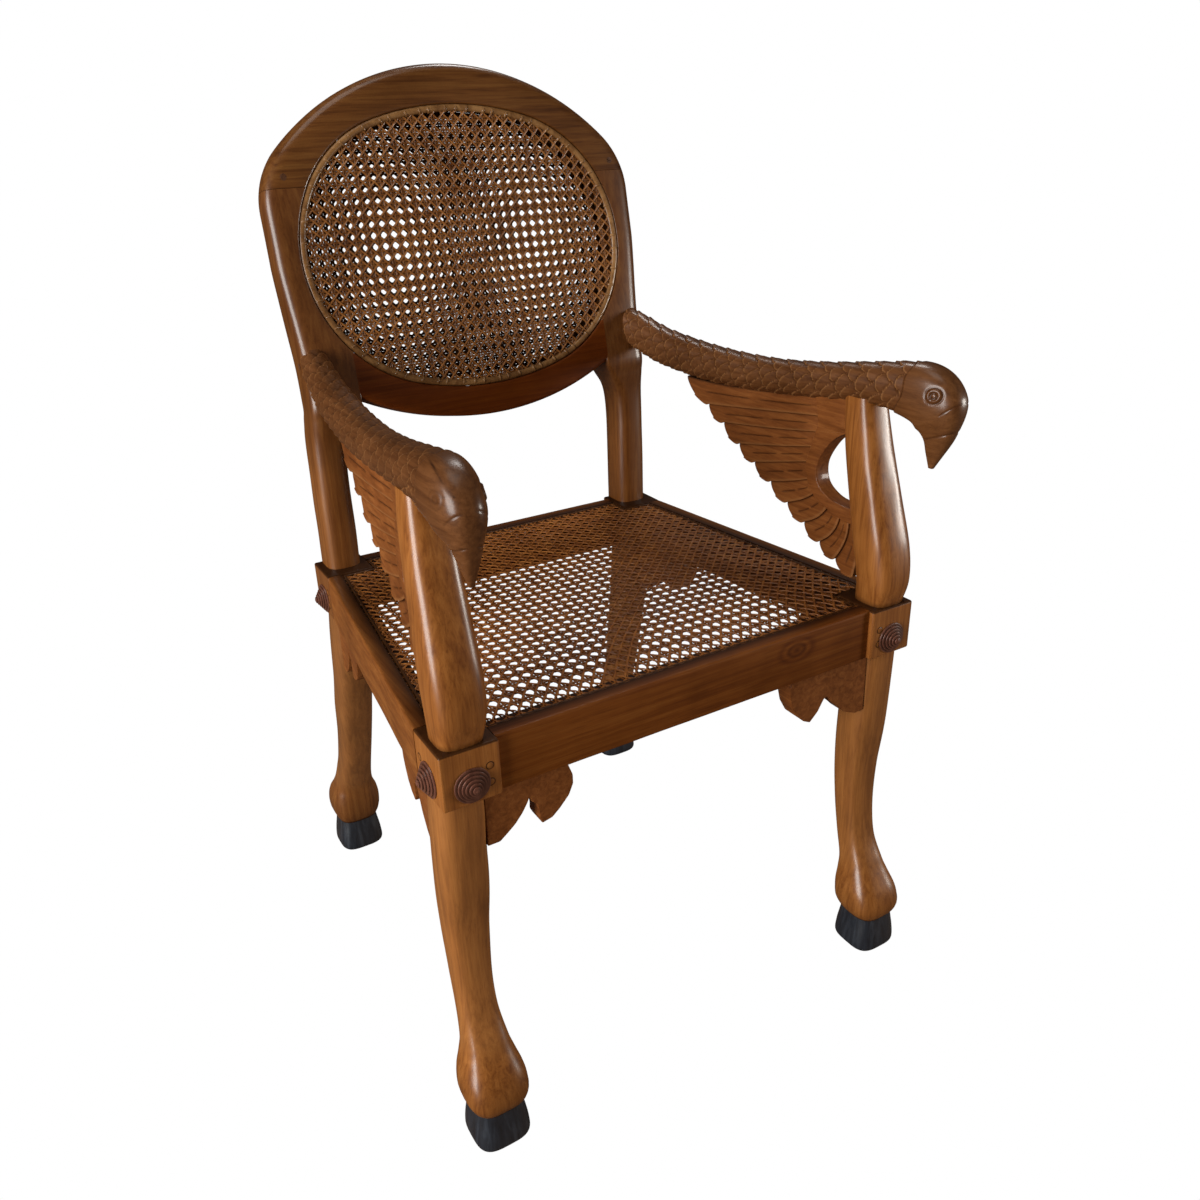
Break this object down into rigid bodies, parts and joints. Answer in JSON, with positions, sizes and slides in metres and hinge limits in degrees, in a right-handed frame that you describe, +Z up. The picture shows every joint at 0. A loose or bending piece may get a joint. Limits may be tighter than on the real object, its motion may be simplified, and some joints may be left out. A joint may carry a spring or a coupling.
{
  "type": "carved armchair",
  "caption": "Carved wooden armchair with bird arms and feathered wings, horse-hoof legs, turned studs and woven cane seat and oval back.",
  "frame": {"origin": "middle of the chair's width and depth, on the floor", "axes": "+Z up, +X to the right seen from the front, the front faces -Y"},
  "size_m": [0.547, 0.596, 0.9527],
  "materials": {
    "leg_wood": "hand-polished satin hardwood, warm brown",
    "rail_wood": "oiled satin hardwood, warm brown with darker top faces",
    "ring_wood": "polished hardwood, darker brown",
    "carved_wood": "carved hardwood, reddish brown, low satin",
    "stud_wood": "turned dark reddish hardwood, satin",
    "hoof_black": "wood painted black, scuffed",
    "cane": "woven rattan cane, varnished brown",
    "binding_cane": "split rattan strip, light brown",
    "peg_wood": "dark end-grain hardwood pegs"
  },
  "bodies": {
    "root": {"front_right_leg": "leg_wood", "front_left_leg": "leg_wood", "back_right_leg": "leg_wood", "back_left_leg": "leg_wood", "front_right_hoof": "hoof_black", "front_left_hoof": "hoof_black", "back_right_hoof": "hoof_black", "back_left_hoof": "hoof_black", "front_rail": "rail_wood", "back_rail": "rail_wood", "right_side_rail": "rail_wood", "left_side_rail": "rail_wood", "crest_rail": "ring_wood", "lower_back_rail": "ring_wood", "right_arm": "carved_wood", "left_arm": "carved_wood", "right_wing": "carved_wood", "left_wing": "carved_wood", "front_right_bracket": "carved_wood", "front_left_bracket": "carved_wood", "right_side_front_bracket": "carved_wood", "left_side_front_bracket": "carved_wood", "right_side_back_bracket": "carved_wood", "left_side_back_bracket": "carved_wood", "turned_studs": "stud_wood", "seat_cane": "cane", "back_cane_front": "cane", "back_cane_rear": "cane", "seat_binder": "binding_cane", "back_binder_front": "binding_cane", "back_binder_rear": "binding_cane", "rail_pegs": "peg_wood", "crest_pegs": "peg_wood", "arm_pegs": "peg_wood", "wing_dowels": "peg_wood", "bracket_dowels": "peg_wood", "hoof_dowels": "peg_wood"}
  },
  "joints": []
}
